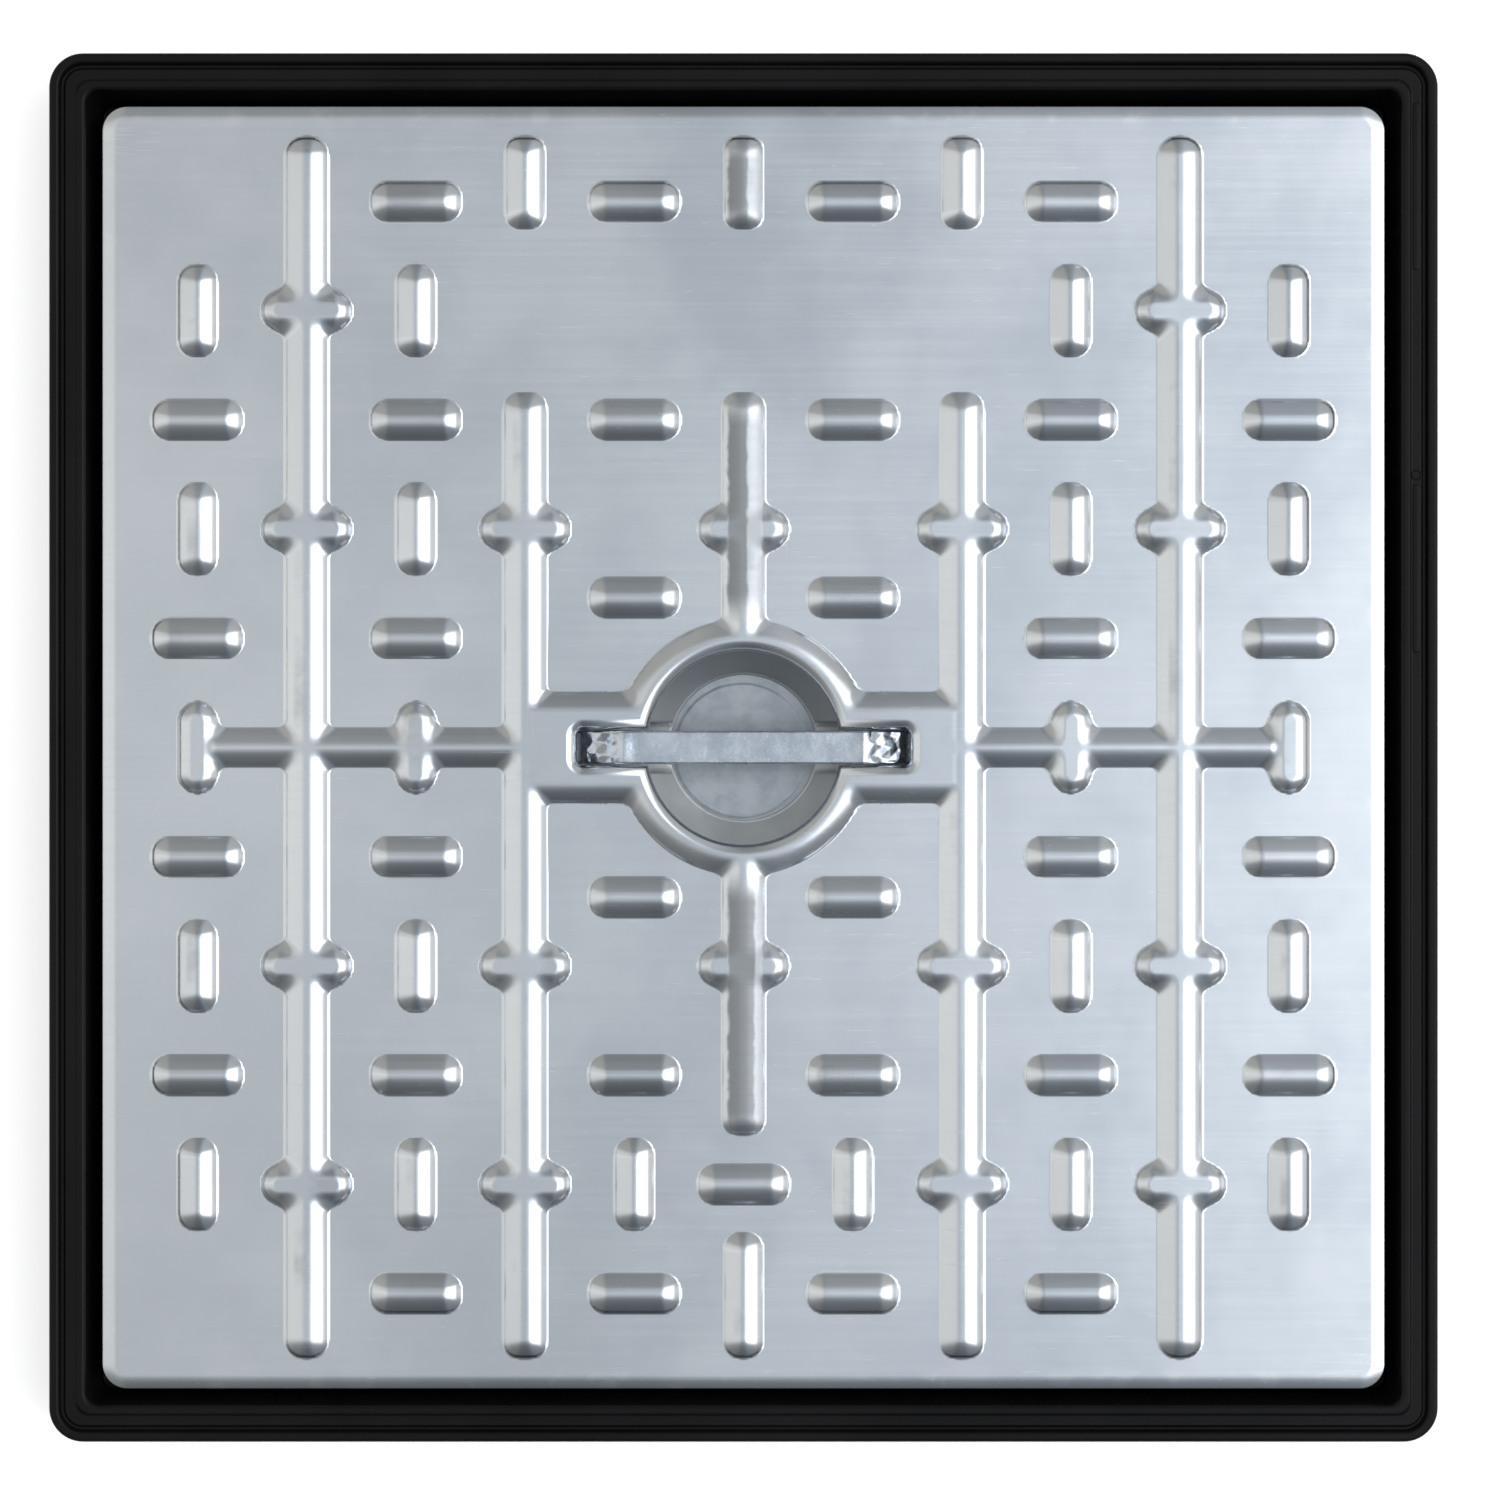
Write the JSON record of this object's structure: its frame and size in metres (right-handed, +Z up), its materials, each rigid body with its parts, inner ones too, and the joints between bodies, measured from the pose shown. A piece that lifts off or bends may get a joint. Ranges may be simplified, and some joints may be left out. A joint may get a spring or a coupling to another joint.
{
  "type": "manhole cover",
  "caption": "Square pressed steel access cover with raised anti-slip pads and ribs, a sunk drop handle in a round finger pocket, and a black moulded frame it lifts out of.",
  "frame": {"origin": "middle of the frame's underside", "axes": "+Z up through the cover, +X along the handle, +Y towards the bare panel of the plate"},
  "size_m": [0.53, 0.53, 0.0424],
  "materials": {
    "black_plastic": "satin black moulded polypropylene",
    "black_rubber": "matt black seal rubber",
    "galvanised_plate": "satin galvanised pressed sheet",
    "galvanised_channel": "dull galvanised folded sheet",
    "pan_steel": "dull galvanised pressed sheet",
    "disc_steel": "frosted galvanised sheet",
    "handle_steel": "zinc plated flat bar, scuffed"
  },
  "bodies": {
    "frame": {"frame": "black_plastic", "seat_seal": "black_rubber"},
    "cover": {"cover_plate": "galvanised_plate", "handle_pan": "pan_steel", "pocket_disc": "disc_steel", "stiffener_1": "galvanised_channel", "stiffener_2": "galvanised_channel", "stiffener_3": "galvanised_channel", "stiffener_4": "galvanised_channel", "stiffener_5": "galvanised_channel", "stiffener_6": "galvanised_channel"},
    "handle": {"lifting_handle": "handle_steel"}
  },
  "joints": [
    {"name": "cover_lift", "type": "slide", "parent": "frame", "child": "cover", "axis": [0, 0, 1], "range_m": [0, 0.1]},
    {"name": "handle_lift", "type": "slide", "parent": "cover", "child": "handle", "axis": [0, 0, 1], "range_m": [0, 0.018]}
  ]
}
